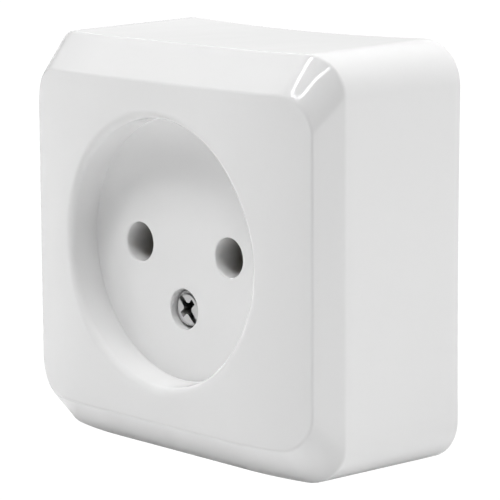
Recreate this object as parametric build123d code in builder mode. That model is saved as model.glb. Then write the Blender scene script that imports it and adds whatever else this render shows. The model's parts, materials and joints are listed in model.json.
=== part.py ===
"""Surface mounted two-pin socket outlet, without earth, in millimetres.

X runs to the right, Z up and the wall lies in the XZ plane. The socket stands
out from the wall towards -Y, so a height above the wall is a distance along -Y.
The origin is the middle of the wall face.
"""

from math import asin, atan2, degrees, hypot, pi
import os

from build123d import *

os.makedirs("parts", exist_ok=True)

FRONT = (0, -1, 0)

# Cover, outside
cover_width = 60.1
cover_height = 59.2
cover_depth = 30.0
corner_radius = 5.6
side_draft = 0.68
top_wall_sink = 0.73
side_wall_sink = 0.18
cover_wall = 2.0
edge_softness = 0.3

# Front face: flat in the middle, curving back towards both sides
side_bevel_width = 1.05
top_bevel_width = 5.15
face_corner_radius = 5.4
face_flat_width = 28.0
face_drop = 2.7
bevel_depth = 4.74
bevel_inside_share = 0.45

# Well that takes the plug
well_radius = 19.2
well_draft = 0.1
well_depth = 5.4
well_rim_softness = 0.5
well_floor_thickness = 2.2
well_wall = 2.0
pin_pitch = 19.0
pin_hole_radius = 2.84

# Cover screw and what holds it
cover_screw_drop = 8.66
counterbore_radius = 2.93
counterbore_depth = 2.9
cover_boss_radius = 4.5
cover_boss_height = 3.0
cover_screw_length = 16.0
cover_screw_travel = 3.2
screw_ring_radius = 2.7
screw_ring_thickness = 0.8
screw_ring_clearance = 0.2
cover_nut_thickness = 3.0
screw_tip_showing = 1.0

# Screws in general
screw_radius = 1.75
screw_hole_clearance = 0.35
thread_fit = 0.05
screw_head_radius = 2.65
screw_head_height = 2.2
screw_head_softness = 0.6
screw_recess_width = 0.9
screw_recess_length = 3.2
screw_recess_depth = 1.3
nut_width = 6.0
nut_pocket_clearance = 0.1

# Cable break-outs thinned from inside the cover, and the cover's stiffening ribs
breakout_width = 11.0
breakout_height = 10.0
breakout_skin = 0.8
rib_thickness = 1.2
rib_depth = 7.0

# Base plate against the wall
base_gap = 0.6
base_thickness = 3.0
base_corner_radius = 3.0
base_edge_chamfer = 0.4
fixing_pitch = 41.0
fixing_slot_width = 4.4
fixing_slot_length = 6.6
fixing_boss_rim = 2.3
fixing_boss_height = 1.6
cable_notch_width = 12.0
cable_notch_depth = 5.0
cable_notch_offset = 16.0

# Raised block of the base, with one pocket for each contact
pocket_width = 8.4
pocket_height = 10.0
block_wall = 1.8
block_corner_radius = 1.2
seat_height = 4.2
pad_half_height = 5.2
pad_end_wall = 1.2
pad_end_wall_height = 5.0
nut_floor = 1.2

# Contacts, cut and folded from sheet brass
sheet_thickness = 0.8
strip_clearance = 0.2
contact_width = 7.0
contact_height = 15.0
jaw_bore_radius = 1.9
jaw_gap = 1.2
contact_flare = 0.35

# Spring that closes the jaws
spring_thickness = 0.5
spring_width = 4.5
spring_height = 6.5
spring_side_length = 3.2
spring_foot_clearance = 0.3

# Terminals
terminal_gap = 0.2
terminal_screw_length = 6.0
clamp_plate_width = 6.4
clamp_plate_thickness = 1.2
clamp_plate_lip = 0.6
spring_washer_thickness = 0.8
spring_washer_radius = 2.9
spring_washer_split = 0.5

# Rivets between the contacts and the base
rivet_gap = 0.2
rivet_radius = 1.0
rivet_head_radius = 1.6
rivet_head_height = 0.8
rivet_tail_radius = 1.7
rivet_tail_height = 0.7
rivet_tail_clearance = 0.3

# Insulating card let into the back of the base
card_margin = 2.2
card_thickness = 0.6
card_edge_clearance = 0.1

# Heights above the wall, and other sizes that follow
face_width = cover_width - 2 * side_bevel_width
face_height = cover_height - 2 * top_bevel_width
well_floor = cover_depth - well_depth
block_top = well_floor - well_floor_thickness
counterbore_floor = well_floor - counterbore_depth
cover_boss_end = block_top - cover_boss_height
ring_top = cover_boss_end - cover_screw_travel - screw_ring_clearance
recess_floor = ring_top - screw_ring_thickness - screw_ring_clearance
cover_screw_tip = counterbore_floor - cover_screw_length
cover_nut_top = cover_screw_tip + cover_nut_thickness + screw_tip_showing
base_half_width = cover_width / 2 - cover_wall - base_gap
base_half_height = cover_height / 2 - cover_wall - base_gap
fixing_boss_width = fixing_slot_width + 2 * fixing_boss_rim
fixing_boss_length = fixing_slot_length + 2 * fixing_boss_rim
card_width = 2 * (base_half_width - card_margin)
card_height = fixing_pitch - fixing_boss_length
recess_radius = cover_boss_radius + screw_hole_clearance
block_half_width = pin_pitch / 2 + pocket_width / 2 + block_wall
block_upper = pocket_height / 2 + block_wall
block_lower = cover_screw_drop + recess_radius + block_wall
strip_top = seat_height + sheet_thickness
rivet_offset = block_half_width + rivet_gap + rivet_head_radius
terminal_offset = rivet_offset + rivet_head_radius + terminal_gap + clamp_plate_width / 2
strip_end = terminal_offset + clamp_plate_width / 2
pad_start = block_half_width - block_wall / 2
pad_end = strip_end + terminal_gap + pad_end_wall
clamp_top = strip_top + clamp_plate_thickness
washer_top = clamp_top + spring_washer_thickness
jaw_outer_radius = jaw_bore_radius + sheet_thickness
screw_hole_radius = screw_radius + screw_hole_clearance
terminal_nut_thickness = seat_height - card_thickness - nut_floor


def behind_front(crest):
    """All the space behind the front's plan curve, a flat with an arc at each side."""
    reach = cover_width / 2 + 2 * side_draft
    half_flat = face_flat_width / 2
    half_face = face_width / 2
    arc_radius = ((half_face - half_flat) ** 2 + face_drop**2) / (2 * face_drop)
    turn = degrees(asin((reach - half_flat) / arc_radius))
    with BuildPart() as space:
        with BuildSketch(Plane.XY.offset(-cover_height)):
            with BuildLine():
                flat = Line((-half_flat, -crest), (half_flat, -crest))
                right = JernArc(flat @ 1, (1, 0), arc_radius, turn)
                left = JernArc(flat @ 0, (-1, 0), arc_radius, -turn)
                Polyline(right @ 1, (reach, cover_depth), (-reach, cover_depth), left @ 1)
            make_face()
        extrude(amount=2 * cover_height)
    return space.part


def rim_edges(faces):
    """The outer edges of a group of faces, in order around the Y axis from the middle of the left side."""
    edges = [edge for face in faces for edge in face.edges()]
    single = [e for e in edges if sum((e.center() - o.center()).length < 0.001 for o in edges) == 1]
    above_left = 7 / 8 * pi
    return sorted(single, key=lambda edge: (atan2(edge.center().Z, edge.center().X) - above_left) % (2 * pi))


def front_faces(solid, crest):
    """The faces that the plan curve gave to a solid."""
    lowest = crest - 1.5 * face_drop
    return [f for f in solid.faces() if f.center().Y < -lowest and abs(f.normal_at().Y) > 0.8]


def curved_faces(half_width, half_height, radius, crest):
    """The faces of a rounded rectangle pressed onto the front's plan curve."""
    with BuildPart() as core:
        with BuildSketch(Plane.XZ):
            RectangleRounded(2 * half_width, 2 * half_height, radius)
        extrude(amount=2 * cover_depth, dir=FRONT)
    return front_faces(core.part & behind_front(crest), crest)


def drafted_block(inset, crest):
    """A block whose straight walls lean in from the wall side, cut off by the plan curve."""
    with BuildPart() as block:
        with BuildSketch(Plane.XZ):
            RectangleRounded(
                cover_width + 2 * (side_draft - inset),
                cover_height + 2 * (side_draft - inset),
                corner_radius + side_draft - inset,
            )
        extrude(amount=cover_depth, dir=FRONT, taper=degrees(atan2(side_draft, cover_depth - bevel_depth)))
    return block.part & behind_front(crest)


def back_faces(inset):
    """The cover's outline at the wall, its sides sunk, divided where the front's curve starts."""
    half_width = cover_width / 2 + side_draft - inset
    half_height = cover_height / 2 + side_draft - inset
    radius = corner_radius + side_draft - inset
    with BuildSketch(Plane.XZ) as profile:
        RectangleRounded(2 * half_width, 2 * half_height, radius)
        for side in (-1, 1):
            start = (radius - half_width, side * half_height)
            end = (half_width - radius, side * half_height)
            with BuildLine():
                Line(start, end)
                ThreePointArc(start, (0, side * (half_height - top_wall_sink)), end)
            make_face(mode=Mode.SUBTRACT)
            start = (side * half_width, radius - half_height)
            end = (side * half_width, half_height - radius)
            with BuildLine():
                Line(start, end)
                ThreePointArc(start, (side * (half_width - side_wall_sink), 0), end)
            make_face(mode=Mode.SUBTRACT)
    pieces = [profile.sketch.face()]
    for x in (-face_flat_width / 2, face_flat_width / 2):
        halves = [split(piece, bisect_by=Plane.YZ.offset(x), keep=Keep.BOTH) for piece in pieces]
        pieces = [face for half in halves for face in half.faces()]
    return pieces


def cover_form(inset, crest, softness=0.0):
    """The bevelled box with a curved front, drawn in from the outside by an inset.

    Ruled bands join the rims of the face, the bevels and the walls; a softness breaks the bevels' edges.
    """
    face_inset = inset * bevel_inside_share
    shoulder = crest - bevel_depth
    face_size = [
        face_width / 2 - face_inset,
        face_height / 2 - face_inset,
        face_corner_radius - face_inset,
        crest,
    ]
    shoulder_size = [cover_width / 2 - inset, cover_height / 2 - inset, corner_radius - inset, shoulder]

    def on_bevel(share):
        return curved_faces(*(a + (b - a) * share for a, b in zip(face_size, shoulder_size)))

    if softness:
        face = curved_faces(*(size - softness for size in face_size[:3]), crest)
        layers = [face, on_bevel(softness / bevel_depth), on_bevel(1 - softness / bevel_depth)]
    else:
        face = on_bevel(0)
        layers = [face]
    block = drafted_block(inset, shoulder - softness)
    layers.append(front_faces(block, shoulder - softness))
    rims = [rim_edges(faces) for faces in layers]
    bands = []
    for upper, lower in zip(rims, rims[1:]):
        bands += [Face.make_surface_from_curves(a, b) for a, b in zip(upper, lower)]
    corners = block.faces().filter_by(GeomType.CONE)
    back = back_faces(inset)
    walls = [pair for pair in zip(rims[-1], rim_edges(back)) if pair[1].radius > 2 * corner_radius]
    bands += [Face.make_surface_from_curves(a, b) for a, b in walls]
    return Solid(Shell(face + bands + corners + back))


# Cover, one moulding with the well for the plug
outside = cover_form(0, cover_depth, edge_softness)
inside = cover_form(cover_wall, cover_depth - cover_wall)

with BuildPart() as cover:
    add(outside)
    add(inside, mode=Mode.SUBTRACT)
    with BuildSketch(Plane.XZ.offset(block_top)):
        Circle(well_radius + well_wall)
    extrude(amount=well_depth + well_floor_thickness - cover_wall / 2, dir=FRONT)
    with BuildSketch(Plane.XZ.offset(cover_boss_end)):
        with Locations((0, -cover_screw_drop)):
            Circle(cover_boss_radius)
    extrude(amount=cover_boss_height, dir=FRONT)
    # Ribs from the well's wall to the skirt
    with BuildSketch(Plane.XZ.offset(block_top)):
        rib_start = well_radius + well_wall / 2
        side_rib_end = cover_width / 2 - cover_wall / 2
        top_rib_end = cover_height / 2 - cover_wall / 2
        for side in (-1, 1):
            with Locations((side * (rib_start + side_rib_end) / 2, 0)):
                Rectangle(side_rib_end - rib_start, rib_thickness)
            with Locations((0, side * (rib_start + top_rib_end) / 2)):
                Rectangle(rib_thickness, top_rib_end - rib_start)
    extrude(amount=rib_depth - bevel_depth, dir=FRONT)
    # The well, slightly wider at its rim
    with BuildSketch(Plane.XY):
        with BuildLine():
            Polyline(
                (0, -well_floor),
                (well_radius - well_draft, -well_floor),
                (well_radius + well_draft, -cover_depth - well_depth),
                (0, -cover_depth - well_depth),
                close=True,
            )
        make_face()
    revolve(axis=Axis.Y, mode=Mode.SUBTRACT)
    rim = [e for e in cover.edges() if e.center().Y < -well_floor - well_depth / 2]
    rim = [e for e in rim if all(abs(hypot(v.X, v.Z) - well_radius) < well_draft for v in e.vertices())]
    chamfer(rim, well_rim_softness)
    # Pin holes and the screw's counterbore
    with BuildSketch(Plane.XZ.offset(well_floor)):
        with Locations((-pin_pitch / 2, 0), (pin_pitch / 2, 0)):
            Circle(pin_hole_radius)
    extrude(amount=-2 * well_floor_thickness, dir=FRONT, mode=Mode.SUBTRACT)
    with BuildSketch(Plane.XZ.offset(well_floor)):
        with Locations((0, -cover_screw_drop)):
            Circle(counterbore_radius)
    extrude(amount=-counterbore_depth, dir=FRONT, mode=Mode.SUBTRACT)
    with BuildSketch(Plane.XZ.offset(well_floor)):
        with Locations((0, -cover_screw_drop)):
            Circle(screw_hole_radius)
    extrude(amount=cover_boss_end - well_floor, dir=FRONT, mode=Mode.SUBTRACT)
    # Break-outs thinned from inside the top and bottom walls
    with BuildSketch(Plane.XZ):
        skin_line = cover_height / 2 - breakout_skin
        with Locations((0, skin_line - cover_wall), (0, cover_wall - skin_line)):
            Rectangle(breakout_width, 2 * cover_wall)
    extrude(amount=breakout_height, dir=FRONT, mode=Mode.SUBTRACT)
cover.part.label = "cover"
export_step(cover.part, "parts/cover.step")

# Base, one moulding behind the cover
with BuildPart() as base:
    with BuildSketch(Plane.XZ):
        RectangleRounded(2 * base_half_width, 2 * base_half_height, base_corner_radius)
    extrude(amount=base_thickness, dir=FRONT)
    chamfer(base.faces().sort_by(Axis.Y)[0].edges(), base_edge_chamfer)
    # Block with a pocket for each contact
    with BuildSketch(Plane.XZ):
        with Locations((0, (block_upper - block_lower) / 2)):
            RectangleRounded(2 * block_half_width, block_upper + block_lower, block_corner_radius)
    extrude(amount=block_top, dir=FRONT)
    # Pads under the terminals, each with a low end wall
    with BuildSketch(Plane.XZ):
        for side in (-1, 1):
            with Locations((side * (pad_start + pad_end) / 2, 0)):
                Rectangle(pad_end - pad_start, 2 * pad_half_height)
    extrude(amount=seat_height, dir=FRONT)
    with BuildSketch(Plane.XZ):
        for side in (-1, 1):
            with Locations((side * (pad_end - pad_end_wall / 2), 0)):
                Rectangle(pad_end_wall, 2 * pad_half_height)
    extrude(amount=seat_height + pad_end_wall_height, dir=FRONT)
    # Raised bosses round the wall-fixing slots
    with BuildSketch(Plane.XZ):
        with Locations((0, fixing_pitch / 2), (0, -fixing_pitch / 2)):
            SlotOverall(fixing_boss_length, fixing_boss_width, rotation=90)
    extrude(amount=base_thickness + fixing_boss_height, dir=FRONT)
    with BuildSketch(Plane.XZ):
        with Locations((0, fixing_pitch / 2), (0, -fixing_pitch / 2)):
            SlotOverall(fixing_slot_length, fixing_slot_width, rotation=90)
        for x in (-cable_notch_offset, cable_notch_offset):
            with Locations((x, base_half_height), (x, -base_half_height)):
                SlotOverall(2 * cable_notch_depth, cable_notch_width / 2, rotation=90)
    extrude(amount=block_top, dir=FRONT, mode=Mode.SUBTRACT)
    # Contact pockets, with a notch where each strip leaves
    with BuildSketch(Plane.XZ.offset(seat_height)):
        with Locations((-pin_pitch / 2, 0), (pin_pitch / 2, 0)):
            Rectangle(pocket_width, pocket_height)
    extrude(amount=block_top, dir=FRONT, mode=Mode.SUBTRACT)
    with BuildSketch(Plane.XZ.offset(seat_height)):
        for side in (-1, 1):
            with Locations((side * block_half_width, 0)):
                Rectangle(3 * block_wall, contact_width + 2 * strip_clearance)
    extrude(amount=2 * sheet_thickness, dir=FRONT, mode=Mode.SUBTRACT)
    # Recess for the cover's screw boss, and the screw's way down to its nut
    with BuildSketch(Plane.XZ.offset(recess_floor)):
        with Locations((0, -cover_screw_drop)):
            Circle(recess_radius)
    extrude(amount=block_top, dir=FRONT, mode=Mode.SUBTRACT)
    with BuildSketch(Plane.XZ):
        with Locations((0, -cover_screw_drop)):
            Circle(screw_hole_radius)
    extrude(amount=block_top, dir=FRONT, mode=Mode.SUBTRACT)
    with BuildSketch(Plane.XZ):
        with Locations((0, -cover_screw_drop)):
            Rectangle(nut_width + 2 * nut_pocket_clearance, nut_width + 2 * nut_pocket_clearance)
    extrude(amount=cover_nut_top, dir=FRONT, mode=Mode.SUBTRACT)
    # Nut pockets and screw holes of the terminals
    with BuildSketch(Plane.XZ.offset(seat_height - terminal_nut_thickness)):
        with Locations((-terminal_offset, 0), (terminal_offset, 0)):
            Rectangle(nut_width + 2 * nut_pocket_clearance, nut_width + 2 * nut_pocket_clearance)
    extrude(amount=terminal_nut_thickness, dir=FRONT, mode=Mode.SUBTRACT)
    with BuildSketch(Plane.XZ):
        with Locations((-terminal_offset, 0), (terminal_offset, 0)):
            Circle(screw_hole_radius)
    extrude(amount=seat_height, dir=FRONT, mode=Mode.SUBTRACT)
    # Rivet holes, with room behind for the formed tails
    with BuildSketch(Plane.XZ):
        with Locations((-rivet_offset, 0), (rivet_offset, 0)):
            Circle(rivet_radius)
    extrude(amount=seat_height, dir=FRONT, mode=Mode.SUBTRACT)
    with BuildSketch(Plane.XZ):
        with Locations((-rivet_offset, 0), (rivet_offset, 0)):
            Circle(rivet_tail_radius + rivet_tail_clearance)
    extrude(amount=card_thickness + rivet_tail_height, dir=FRONT, mode=Mode.SUBTRACT)
    # Shallow recess for the insulating card, between the fixing bosses
    with BuildSketch(Plane.XZ):
        RectangleRounded(card_width, card_height, base_corner_radius)
    extrude(amount=card_thickness, dir=FRONT, mode=Mode.SUBTRACT)
base.part.label = "base"
export_step(base.part, "parts/base.step")

# Insulating card behind the rivets and nuts
with BuildPart() as back_card:
    with BuildSketch(Plane.XZ):
        RectangleRounded(
            card_width - 2 * card_edge_clearance,
            card_height - 2 * card_edge_clearance,
            base_corner_radius - card_edge_clearance,
        )
    extrude(amount=card_thickness, dir=FRONT)
back_card.part.label = "back_card"
export_step(back_card.part, "parts/back_card.step")

# Cover screw: pan head with a cross recess and a slot
cover_screw_head = counterbore_floor + screw_head_height
with BuildPart() as cover_screw:
    with BuildSketch(Plane.XZ.offset(counterbore_floor)):
        with Locations((0, -cover_screw_drop)):
            Circle(screw_head_radius)
    extrude(amount=screw_head_height, dir=FRONT)
    chamfer(cover_screw.faces().sort_by(Axis.Y)[0].edges(), screw_head_softness)
    with BuildSketch(Plane.XZ.offset(cover_screw_tip)):
        with Locations((0, -cover_screw_drop)):
            Circle(screw_radius)
    extrude(amount=cover_screw_length, dir=FRONT)
    with BuildSketch(Plane.XZ.offset(cover_screw_head)):
        with Locations((0, -cover_screw_drop)):
            Rectangle(screw_recess_length, screw_recess_width, rotation=45)
            Rectangle(screw_recess_length, screw_recess_width, rotation=-45)
    extrude(amount=-screw_recess_depth, dir=FRONT, mode=Mode.SUBTRACT)
cover_screw.part.label = "cover_screw"
export_step(cover_screw.part, "parts/cover_screw.step")

# Ring that keeps the screw in the cover
with BuildPart() as screw_ring:
    with BuildSketch(Plane.XZ.offset(ring_top - screw_ring_thickness)):
        with Locations((0, -cover_screw_drop)):
            Circle(screw_ring_radius)
            Circle(screw_radius + thread_fit, mode=Mode.SUBTRACT)
    extrude(amount=screw_ring_thickness, dir=FRONT)
screw_ring.part.label = "screw_ring"
export_step(screw_ring.part, "parts/screw_ring.step")

# Square nut for the cover screw, trapped from behind
with BuildPart() as cover_nut:
    with BuildSketch(Plane.XZ.offset(cover_nut_top - cover_nut_thickness)):
        with Locations((0, -cover_screw_drop)):
            Rectangle(nut_width, nut_width)
            Circle(screw_radius + thread_fit, mode=Mode.SUBTRACT)
    extrude(amount=cover_nut_thickness, dir=FRONT)
cover_nut.part.label = "cover_nut"
export_step(cover_nut.part, "parts/cover_nut.step")

for side, hand in ((-1, "left"), (1, "right")):
    pin_x = side * pin_pitch / 2
    terminal_x = side * terminal_offset
    rivet_x = side * rivet_offset

    # Contact: two jaws standing on a strip that runs out to the terminal
    strip_start = pin_x - side * jaw_outer_radius
    with BuildPart() as contact:
        with BuildSketch(Plane.XZ.offset(seat_height)):
            with Locations(((strip_start + side * strip_end) / 2, 0)):
                Rectangle(abs(side * strip_end - strip_start), contact_width)
            with Locations((terminal_x, 0)):
                Circle(screw_hole_radius, mode=Mode.SUBTRACT)
            with Locations((rivet_x, 0)):
                Circle(rivet_radius, mode=Mode.SUBTRACT)
        extrude(amount=sheet_thickness, dir=FRONT)
        with BuildSketch(Plane.XZ.offset(seat_height)):
            with Locations((pin_x, 0)):
                Rectangle(jaw_gap + 2 * sheet_thickness, contact_width)
                Circle(jaw_outer_radius)
        extrude(amount=contact_height, dir=FRONT)
        with BuildSketch(Plane.XZ.offset(strip_top)):
            with Locations((pin_x, 0)):
                Rectangle(jaw_gap, contact_width)
                Circle(jaw_bore_radius)
        extrude(amount=contact_height, dir=FRONT, mode=Mode.SUBTRACT)
        lead_in = contact.edges().filter_by(GeomType.CIRCLE).group_by(Axis.Y)[0]
        chamfer([e for e in lead_in if abs(e.radius - jaw_bore_radius) < 0.01], contact_flare)
    contact.part.label = f"{hand}_contact"
    export_step(contact.part, f"parts/{hand}_contact.step")

    # Steel clip round the jaws
    clip_half_width = jaw_outer_radius + spring_thickness
    clip_foot = -contact_width / 2 - spring_foot_clearance - spring_thickness
    with BuildPart() as contact_spring:
        with BuildSketch(Plane.XZ.offset(strip_top + spring_height)):
            with Locations((pin_x, (clip_foot + spring_side_length) / 2)):
                Rectangle(2 * clip_half_width, spring_side_length - clip_foot)
            with Locations((pin_x, (clip_foot + spring_side_length) / 2 + spring_thickness)):
                Rectangle(2 * jaw_outer_radius, spring_side_length - clip_foot, mode=Mode.SUBTRACT)
        extrude(amount=spring_width, dir=FRONT)
    contact_spring.part.label = f"{hand}_contact_spring"
    export_step(contact_spring.part, f"parts/{hand}_contact_spring.step")

    # Rivet through the strip and the base
    with BuildPart() as rivet:
        with BuildSketch(Plane.XZ.offset(card_thickness)):
            with Locations((rivet_x, 0)):
                Circle(rivet_tail_radius)
        extrude(amount=rivet_tail_height, dir=FRONT)
        with BuildSketch(Plane.XZ.offset(card_thickness)):
            with Locations((rivet_x, 0)):
                Circle(rivet_radius)
        extrude(amount=strip_top - card_thickness, dir=FRONT)
        with BuildSketch(Plane.XZ.offset(strip_top)):
            with Locations((rivet_x, 0)):
                Circle(rivet_head_radius)
        extrude(amount=rivet_head_height, dir=FRONT)
    rivet.part.label = f"{hand}_rivet"
    export_step(rivet.part, f"parts/{hand}_rivet.step")

    # Square nut below the strip
    with BuildPart() as terminal_nut:
        with BuildSketch(Plane.XZ.offset(seat_height - terminal_nut_thickness)):
            with Locations((terminal_x, 0)):
                Rectangle(nut_width, nut_width)
                Circle(screw_radius + thread_fit, mode=Mode.SUBTRACT)
        extrude(amount=terminal_nut_thickness, dir=FRONT)
    terminal_nut.part.label = f"{hand}_terminal_nut"
    export_step(terminal_nut.part, f"parts/{hand}_terminal_nut.step")

    # Clamp plate with two turned-down lips that keep the wire in
    with BuildPart() as clamp_plate:
        with BuildSketch(Plane.XZ.offset(strip_top)):
            with Locations((terminal_x, 0)):
                Rectangle(clamp_plate_width, clamp_plate_width)
                Circle(screw_hole_radius, mode=Mode.SUBTRACT)
        extrude(amount=clamp_plate_thickness, dir=FRONT)
        with BuildSketch(Plane.XZ.offset(strip_top)):
            with Locations((terminal_x, 0)):
                Rectangle(clamp_plate_width - 2 * clamp_plate_lip, clamp_plate_width)
        extrude(amount=clamp_plate_thickness - sheet_thickness, dir=FRONT, mode=Mode.SUBTRACT)
    clamp_plate.part.label = f"{hand}_clamp_plate"
    export_step(clamp_plate.part, f"parts/{hand}_clamp_plate.step")

    # Split spring washer under the screw's head
    with BuildPart() as spring_washer:
        with BuildSketch(Plane.XZ.offset(clamp_top)):
            with Locations((terminal_x, 0)):
                Circle(spring_washer_radius)
                Circle(screw_hole_radius, mode=Mode.SUBTRACT)
            with Locations((terminal_x, spring_washer_radius)):
                Rectangle(spring_washer_split, spring_washer_radius, mode=Mode.SUBTRACT)
        extrude(amount=spring_washer_thickness, dir=FRONT)
    spring_washer.part.label = f"{hand}_spring_washer"
    export_step(spring_washer.part, f"parts/{hand}_spring_washer.step")

    # Terminal screw with a slotted head
    with BuildPart() as terminal_screw:
        with BuildSketch(Plane.XZ.offset(washer_top)):
            with Locations((terminal_x, 0)):
                Circle(screw_head_radius)
        extrude(amount=screw_head_height, dir=FRONT)
        chamfer(terminal_screw.faces().sort_by(Axis.Y)[0].edges(), screw_head_softness)
        with BuildSketch(Plane.XZ.offset(washer_top - terminal_screw_length)):
            with Locations((terminal_x, 0)):
                Circle(screw_radius)
        extrude(amount=terminal_screw_length, dir=FRONT)
        with BuildSketch(Plane.XZ.offset(washer_top + screw_head_height)):
            with Locations((terminal_x, 0)):
                Rectangle(3 * screw_head_radius, screw_recess_width)
        extrude(amount=-screw_recess_depth, dir=FRONT, mode=Mode.SUBTRACT)
    terminal_screw.part.label = f"{hand}_terminal_screw"
    export_step(terminal_screw.part, f"parts/{hand}_terminal_screw.step")
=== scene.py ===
"""Surface mounted two-pin socket: its moulded cover, its screws, its finishes and a plain white studio.

X runs to the right, Z up, and the socket stands out from the wall towards -Y, all in metres.
"""

import json
import math

import bpy
from mathutils import Matrix, Vector


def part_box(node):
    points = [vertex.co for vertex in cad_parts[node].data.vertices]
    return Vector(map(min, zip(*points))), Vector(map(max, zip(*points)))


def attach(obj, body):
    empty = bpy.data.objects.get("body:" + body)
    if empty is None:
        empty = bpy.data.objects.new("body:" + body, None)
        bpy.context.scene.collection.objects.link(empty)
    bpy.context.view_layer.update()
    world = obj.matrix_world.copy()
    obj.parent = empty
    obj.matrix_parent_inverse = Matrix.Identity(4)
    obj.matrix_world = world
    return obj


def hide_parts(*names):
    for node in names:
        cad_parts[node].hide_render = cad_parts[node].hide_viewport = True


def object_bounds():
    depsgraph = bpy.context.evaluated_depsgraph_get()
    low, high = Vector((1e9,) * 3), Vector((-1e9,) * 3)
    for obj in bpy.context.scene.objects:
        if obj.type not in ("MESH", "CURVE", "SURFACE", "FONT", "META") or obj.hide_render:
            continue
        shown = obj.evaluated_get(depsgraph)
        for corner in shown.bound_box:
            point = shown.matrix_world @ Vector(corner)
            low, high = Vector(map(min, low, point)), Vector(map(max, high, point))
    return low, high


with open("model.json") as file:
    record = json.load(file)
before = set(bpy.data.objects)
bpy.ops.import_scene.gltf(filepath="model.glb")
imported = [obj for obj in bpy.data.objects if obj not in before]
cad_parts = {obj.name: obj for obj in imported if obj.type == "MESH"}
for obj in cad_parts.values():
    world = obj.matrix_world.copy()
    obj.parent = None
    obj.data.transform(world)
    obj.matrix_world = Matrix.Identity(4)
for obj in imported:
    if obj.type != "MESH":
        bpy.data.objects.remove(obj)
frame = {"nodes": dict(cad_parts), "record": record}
cad_low, cad_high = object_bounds()
cover_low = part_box("cover")[0]

bl_info = {
    "name": "Surface Mounted Socket",
    "version": (1, 0, 0),
    "blender": (4, 5, 0),
    "location": "View3D > Sidebar > Socket",
    "description": "Builds the cover, the screws and the finishes of a two-pin surface mounted socket",
    "category": "Object",
}

MM = 0.001


class CoverSizes(bpy.types.PropertyGroup):
    """Sizes of the moulded cover."""

    half_width: bpy.props.FloatProperty(
        name="Half width", description="Half the width at the bevel", default=30.05 * MM, unit="LENGTH"
    )
    half_height: bpy.props.FloatProperty(
        name="Half height", description="Half the height at the bevel", default=29.6 * MM, unit="LENGTH"
    )
    depth: bpy.props.FloatProperty(
        name="Depth", description="From the wall to the flat front", default=-cover_low.y, unit="LENGTH"
    )
    corner_radius: bpy.props.FloatProperty(
        name="Corner radius", description="Upright corners at the bevel", default=5.6 * MM, unit="LENGTH"
    )
    draft: bpy.props.FloatProperty(
        name="Draft", description="How much each side widens to the wall", default=0.8 * MM, unit="LENGTH"
    )
    top_sink: bpy.props.FloatProperty(
        name="Top sink", description="Sink of the top and bottom walls", default=0.85 * MM, unit="LENGTH"
    )
    side_sink: bpy.props.FloatProperty(
        name="Side sink", description="Sink of the side walls", default=0.3 * MM, unit="LENGTH"
    )
    wall: bpy.props.FloatProperty(
        name="Wall", description="Thickness of the moulding", default=2.0 * MM, unit="LENGTH"
    )
    side_bevel: bpy.props.FloatProperty(
        name="Side bevel", description="Width of the side bevels", default=1.05 * MM, unit="LENGTH"
    )
    top_bevel: bpy.props.FloatProperty(
        name="Top bevel", description="Width of the top and bottom bevels", default=5.15 * MM, unit="LENGTH"
    )
    bevel_depth: bpy.props.FloatProperty(
        name="Bevel depth", description="Depth of all four bevels", default=4.74 * MM, unit="LENGTH"
    )
    face_radius: bpy.props.FloatProperty(
        name="Face radius", description="Corner radius of the front face", default=5.4 * MM, unit="LENGTH"
    )
    flat_width: bpy.props.FloatProperty(
        name="Flat width", description="Width of the front's flat middle", default=28.0 * MM, unit="LENGTH"
    )
    face_drop: bpy.props.FloatProperty(
        name="Face drop", description="How far the front's sides fall back", default=2.7 * MM, unit="LENGTH"
    )
    rib: bpy.props.FloatProperty(
        name="Rib", description="Thickness of the ribs inside", default=1.2 * MM, unit="LENGTH"
    )
    breakout_width: bpy.props.FloatProperty(
        name="Break-out width", description="Width of the break-outs", default=11.0 * MM, unit="LENGTH"
    )
    breakout_height: bpy.props.FloatProperty(
        name="Break-out height", description="Height of the break-outs", default=10.0 * MM, unit="LENGTH"
    )
    edge_round: bpy.props.FloatProperty(
        name="Edge rounding", description="Rounding of the bevels' edges", default=0.3 * MM, unit="LENGTH"
    )


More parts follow.
